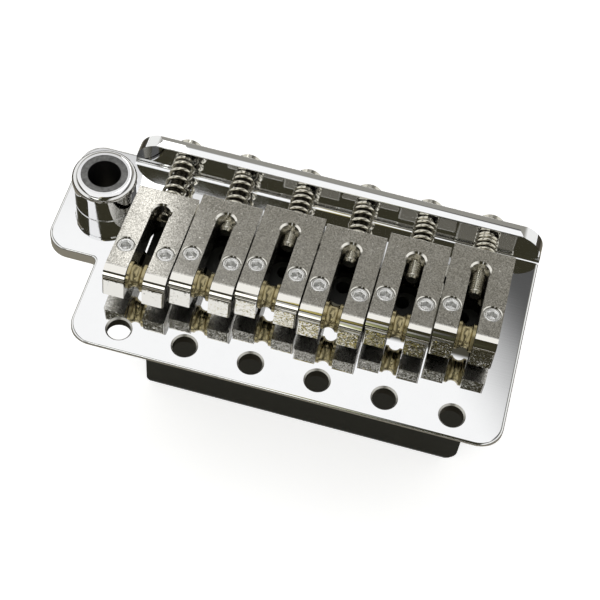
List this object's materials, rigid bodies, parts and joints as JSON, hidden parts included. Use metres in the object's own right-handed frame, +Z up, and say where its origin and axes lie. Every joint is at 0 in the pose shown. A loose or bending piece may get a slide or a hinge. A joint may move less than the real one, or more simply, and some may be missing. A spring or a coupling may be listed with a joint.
{
  "type": "guitar tremolo bridge",
  "caption": "Guitar tremolo bridge: bent chrome plate on pivot holes with staggered roller saddles, spring-loaded intonation screws, arm socket and black sustain block.",
  "frame": {"origin": "middle of the pivot hole row, on the top of the base plate; the holes' straight walls, which the mounts name, start 0.3 mm lower, under their chamfers", "axes": "+X along the hole row to the end without the arm, +Y from the pivots to the tail wall, +Z up off the guitar"},
  "size_m": [0.0822, 0.0423, 0.0506],
  "materials": {
    "plate_chrome": "mirror chrome plate",
    "collar_chrome": "mirror chrome plate",
    "block_paint": "satin black paint on die-cast metal",
    "bushing_plastic": "dark grey acetal",
    "saddle_satin": "blasted nickel with a polished nose",
    "roller_polish": "polished steel",
    "screw_steel": "nickel-plated steel",
    "spring_steel": "bright spring wire",
    "grub_chrome": "chromed socket screw"
  },
  "bodies": {
    "base": {"base_plate": "plate_chrome", "sustain_block": "block_paint", "block_screws": "screw_steel", "arm_collar": "collar_chrome", "arm_bushing": "bushing_plastic", "collar_washer": "screw_steel", "collar_nut": "screw_steel"},
    "spring_1": {"intonation_spring_1": "spring_steel"},
    "screw_1": {"intonation_screw_1": "screw_steel"},
    "saddle_1": {"saddle_1": "saddle_satin", "roller_pin_1": "screw_steel"},
    "roller_1": {"string_roller_1": "roller_polish"},
    "height_left_1": {"height_screw_1_left": "grub_chrome"},
    "height_right_1": {"height_screw_1_right": "grub_chrome"},
    "spring_2": {"intonation_spring_2": "spring_steel"},
    "screw_2": {"intonation_screw_2": "screw_steel"},
    "saddle_2": {"saddle_2": "saddle_satin", "roller_pin_2": "screw_steel"},
    "roller_2": {"string_roller_2": "roller_polish"},
    "height_left_2": {"height_screw_2_left": "grub_chrome"},
    "height_right_2": {"height_screw_2_right": "grub_chrome"},
    "spring_3": {"intonation_spring_3": "spring_steel"},
    "screw_3": {"intonation_screw_3": "screw_steel"},
    "saddle_3": {"saddle_3": "saddle_satin", "roller_pin_3": "screw_steel"},
    "roller_3": {"string_roller_3": "roller_polish"},
    "height_left_3": {"height_screw_3_left": "grub_chrome"},
    "height_right_3": {"height_screw_3_right": "grub_chrome"},
    "spring_4": {"intonation_spring_4": "spring_steel"},
    "screw_4": {"intonation_screw_4": "screw_steel"},
    "saddle_4": {"saddle_4": "saddle_satin", "roller_pin_4": "screw_steel"},
    "roller_4": {"string_roller_4": "roller_polish"},
    "height_left_4": {"height_screw_4_left": "grub_chrome"},
    "height_right_4": {"height_screw_4_right": "grub_chrome"},
    "spring_5": {"intonation_spring_5": "spring_steel"},
    "screw_5": {"intonation_screw_5": "screw_steel"},
    "saddle_5": {"saddle_5": "saddle_satin", "roller_pin_5": "screw_steel"},
    "roller_5": {"string_roller_5": "roller_polish"},
    "height_left_5": {"height_screw_5_left": "grub_chrome"},
    "height_right_5": {"height_screw_5_right": "grub_chrome"},
    "spring_6": {"intonation_spring_6": "spring_steel"},
    "screw_6": {"intonation_screw_6": "screw_steel"},
    "saddle_6": {"saddle_6": "saddle_satin", "roller_pin_6": "screw_steel"},
    "roller_6": {"string_roller_6": "roller_polish"},
    "height_left_6": {"height_screw_6_left": "grub_chrome"},
    "height_right_6": {"height_screw_6_right": "grub_chrome"}
  },
  "joints": [
    {"name": "saddle_height_1", "type": "hinge", "parent": "base", "child": "spring_1", "pos_m": [-0.027, 0.03535, 0.00308], "axis": [-1, 0, 0], "range_deg": [-1.3, 2]},
    {"name": "intonation_turn_1", "type": "hinge", "parent": "spring_1", "child": "screw_1", "pos_m": [-0.027, 0.0366, 0.00308], "axis": [0, -1, 0], "range_deg": [-988, 2004]},
    {"name": "saddle_slide_1", "type": "slide", "parent": "spring_1", "child": "saddle_1", "axis": [0, 1, 0], "range_m": [-0.00123, 0.0025], "deforming": ["intonation_spring_1"]},
    {"name": "roller_turn_1", "type": "hinge", "parent": "saddle_1", "child": "roller_1", "pos_m": [-0.027, 0.0073, 0.0054], "axis": [1, 0, 0], "continuous": true},
    {"name": "height_screw_left_1", "type": "slide", "parent": "saddle_1", "child": "height_left_1", "axis": [0, 0.1063, 0.9943], "range_m": [-0.00086, 0.00057]},
    {"name": "height_screw_right_1", "type": "slide", "parent": "saddle_1", "child": "height_right_1", "axis": [0, 0.1063, 0.9943], "range_m": [-0.00086, 0.00057]},
    {"name": "saddle_height_2", "type": "hinge", "parent": "base", "child": "spring_2", "pos_m": [-0.0162, 0.03535, 0.00308], "axis": [-1, 0, 0], "range_deg": [-1.3, 2]},
    {"name": "intonation_turn_2", "type": "hinge", "parent": "spring_2", "child": "screw_2", "pos_m": [-0.0162, 0.0366, 0.00308], "axis": [0, -1, 0], "range_deg": [-2004, 2004]},
    {"name": "saddle_slide_2", "type": "slide", "parent": "spring_2", "child": "saddle_2", "axis": [0, 1, 0], "range_m": [-0.0025, 0.0025], "deforming": ["intonation_spring_2"]},
    {"name": "roller_turn_2", "type": "hinge", "parent": "saddle_2", "child": "roller_2", "pos_m": [-0.0162, 0.00875, 0.0054], "axis": [1, 0, 0], "continuous": true},
    {"name": "height_screw_left_2", "type": "slide", "parent": "saddle_2", "child": "height_left_2", "axis": [0, 0.1063, 0.9943], "range_m": [-0.00081, 0.00053]},
    {"name": "height_screw_right_2", "type": "slide", "parent": "saddle_2", "child": "height_right_2", "axis": [0, 0.1063, 0.9943], "range_m": [-0.00081, 0.00053]},
    {"name": "saddle_height_3", "type": "hinge", "parent": "base", "child": "spring_3", "pos_m": [-0.0054, 0.03535, 0.00308], "axis": [-1, 0, 0], "range_deg": [-1.3, 2]},
    {"name": "intonation_turn_3", "type": "hinge", "parent": "spring_3", "child": "screw_3", "pos_m": [-0.0054, 0.0366, 0.00308], "axis": [0, -1, 0], "range_deg": [-2004, 2004]},
    {"name": "saddle_slide_3", "type": "slide", "parent": "spring_3", "child": "saddle_3", "axis": [0, 1, 0], "range_m": [-0.0025, 0.0025], "deforming": ["intonation_spring_3"]},
    {"name": "roller_turn_3", "type": "hinge", "parent": "saddle_3", "child": "roller_3", "pos_m": [-0.0054, 0.0099, 0.0054], "axis": [1, 0, 0], "continuous": true},
    {"name": "height_screw_left_3", "type": "slide", "parent": "saddle_3", "child": "height_left_3", "axis": [0, 0.1063, 0.9943], "range_m": [-0.00077, 0.00051]},
    {"name": "height_screw_right_3", "type": "slide", "parent": "saddle_3", "child": "height_right_3", "axis": [0, 0.1063, 0.9943], "range_m": [-0.00077, 0.00051]},
    {"name": "saddle_height_4", "type": "hinge", "parent": "base", "child": "spring_4", "pos_m": [0.0054, 0.03535, 0.00308], "axis": [-1, 0, 0], "range_deg": [-1.3, 2]},
    {"name": "intonation_turn_4", "type": "hinge", "parent": "spring_4", "child": "screw_4", "pos_m": [0.0054, 0.0366, 0.00308], "axis": [0, -1, 0], "range_deg": [-2004, 2004]},
    {"name": "saddle_slide_4", "type": "slide", "parent": "spring_4", "child": "saddle_4", "axis": [0, 1, 0], "range_m": [-0.0025, 0.0025], "deforming": ["intonation_spring_4"]},
    {"name": "roller_turn_4", "type": "hinge", "parent": "saddle_4", "child": "roller_4", "pos_m": [0.0054, 0.0091, 0.0054], "axis": [1, 0, 0], "continuous": true},
    {"name": "height_screw_left_4", "type": "slide", "parent": "saddle_4", "child": "height_left_4", "axis": [0, 0.1063, 0.9943], "range_m": [-0.0008, 0.00052]},
    {"name": "height_screw_right_4", "type": "slide", "parent": "saddle_4", "child": "height_right_4", "axis": [0, 0.1063, 0.9943], "range_m": [-0.0008, 0.00052]},
    {"name": "saddle_height_5", "type": "hinge", "parent": "base", "child": "spring_5", "pos_m": [0.0162, 0.03535, 0.00308], "axis": [-1, 0, 0], "range_deg": [-1.3, 2]},
    {"name": "intonation_turn_5", "type": "hinge", "parent": "spring_5", "child": "screw_5", "pos_m": [0.0162, 0.0366, 0.00308], "axis": [0, -1, 0], "range_deg": [-2004, 1964]},
    {"name": "saddle_slide_5", "type": "slide", "parent": "spring_5", "child": "saddle_5", "axis": [0, 1, 0], "range_m": [-0.0025, 0.00245], "deforming": ["intonation_spring_5"]},
    {"name": "roller_turn_5", "type": "hinge", "parent": "saddle_5", "child": "roller_5", "pos_m": [0.0162, 0.0105, 0.0054], "axis": [1, 0, 0], "continuous": true},
    {"name": "height_screw_left_5", "type": "slide", "parent": "saddle_5", "child": "height_left_5", "axis": [0, 0.1063, 0.9943], "range_m": [-0.00075, 0.00049]},
    {"name": "height_screw_right_5", "type": "slide", "parent": "saddle_5", "child": "height_right_5", "axis": [0, 0.1063, 0.9943], "range_m": [-0.00075, 0.00049]},
    {"name": "saddle_height_6", "type": "hinge", "parent": "base", "child": "spring_6", "pos_m": [0.027, 0.03535, 0.00308], "axis": [-1, 0, 0], "range_deg": [-1.3, 2]},
    {"name": "intonation_turn_6", "type": "hinge", "parent": "spring_6", "child": "screw_6", "pos_m": [0.027, 0.0366, 0.00308], "axis": [0, -1, 0], "range_deg": [-2004, 964]},
    {"name": "saddle_slide_6", "type": "slide", "parent": "spring_6", "child": "saddle_6", "axis": [0, 1, 0], "range_m": [-0.0025, 0.0012], "deforming": ["intonation_spring_6"]},
    {"name": "roller_turn_6", "type": "hinge", "parent": "saddle_6", "child": "roller_6", "pos_m": [0.027, 0.01175, 0.0054], "axis": [1, 0, 0], "continuous": true},
    {"name": "height_screw_left_6", "type": "slide", "parent": "saddle_6", "child": "height_left_6", "axis": [0, 0.1063, 0.9943], "range_m": [-0.00071, 0.00046]},
    {"name": "height_screw_right_6", "type": "slide", "parent": "saddle_6", "child": "height_right_6", "axis": [0, 0.1063, 0.9943], "range_m": [-0.00071, 0.00046]}
  ],
  "couplings": [
    {"joint": "intonation_turn_1", "follows": "saddle_slide_1", "rad_per_m": 13963},
    {"joint": "height_screw_left_1", "follows": "saddle_height_1", "m_per_rad": -0.024484},
    {"joint": "height_screw_right_1", "follows": "saddle_height_1", "m_per_rad": -0.024484},
    {"joint": "intonation_turn_2", "follows": "saddle_slide_2", "rad_per_m": 13963},
    {"joint": "height_screw_left_2", "follows": "saddle_height_2", "m_per_rad": -0.023025},
    {"joint": "height_screw_right_2", "follows": "saddle_height_2", "m_per_rad": -0.023025},
    {"joint": "intonation_turn_3", "follows": "saddle_slide_3", "rad_per_m": 13963},
    {"joint": "height_screw_left_3", "follows": "saddle_height_3", "m_per_rad": -0.021869},
    {"joint": "height_screw_right_3", "follows": "saddle_height_3", "m_per_rad": -0.021869},
    {"joint": "intonation_turn_4", "follows": "saddle_slide_4", "rad_per_m": 13963},
    {"joint": "height_screw_left_4", "follows": "saddle_height_4", "m_per_rad": -0.022673},
    {"joint": "height_screw_right_4", "follows": "saddle_height_4", "m_per_rad": -0.022673},
    {"joint": "intonation_turn_5", "follows": "saddle_slide_5", "rad_per_m": 13963},
    {"joint": "height_screw_left_5", "follows": "saddle_height_5", "m_per_rad": -0.021266},
    {"joint": "height_screw_right_5", "follows": "saddle_height_5", "m_per_rad": -0.021266},
    {"joint": "intonation_turn_6", "follows": "saddle_slide_6", "rad_per_m": 13963},
    {"joint": "height_screw_left_6", "follows": "saddle_height_6", "m_per_rad": -0.020008},
    {"joint": "height_screw_right_6", "follows": "saddle_height_6", "m_per_rad": -0.020008}
  ]
}
